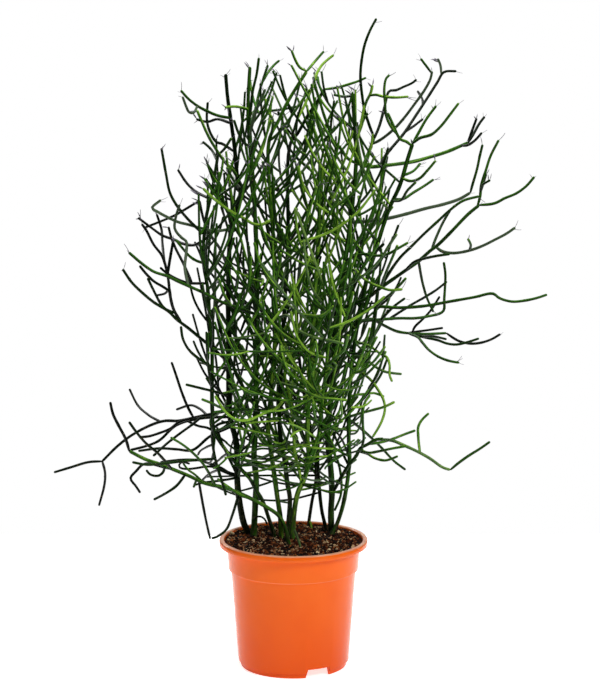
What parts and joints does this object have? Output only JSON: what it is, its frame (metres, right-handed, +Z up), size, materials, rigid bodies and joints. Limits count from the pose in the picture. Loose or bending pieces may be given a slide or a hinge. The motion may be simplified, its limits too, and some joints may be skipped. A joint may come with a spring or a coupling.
{
  "type": "potted euphorbia",
  "caption": "Pencil tree with leafless green forking twigs on several stems, standing in soil in a tapered orange plastic grower's pot.",
  "frame": {"origin": "centre of the foot of the pot, on the surface that it stands on, which is the bottom centre of the bounding box", "axes": "+Z up along the pot's axis and the plant's height, the longest extent; the front, as in the picture, faces -Y; +X to the right as seen from the front"},
  "size_m": [0.5614, 0.402, 0.7456],
  "materials": {
    "pot": "satin moulded plastic, orange terracotta colour",
    "soil": "loose dark peat with bark chips",
    "plant": "smooth waxy green skin of living twigs"
  },
  "bodies": {
    "root": {"pot": "pot", "soil": "soil", "stem_left_outer": "plant", "stem_left_inner": "plant", "stem_far_left": "plant", "stem_mid_left": "plant", "stem_mid_dark": "plant", "stem_mid_fork": "plant", "stem_right_thin": "plant", "stem_right_thick": "plant", "stem_right_outer": "plant", "stem_back": "plant", "shoot_low_left": "plant", "shoot_front": "plant"}
  },
  "joints": []
}
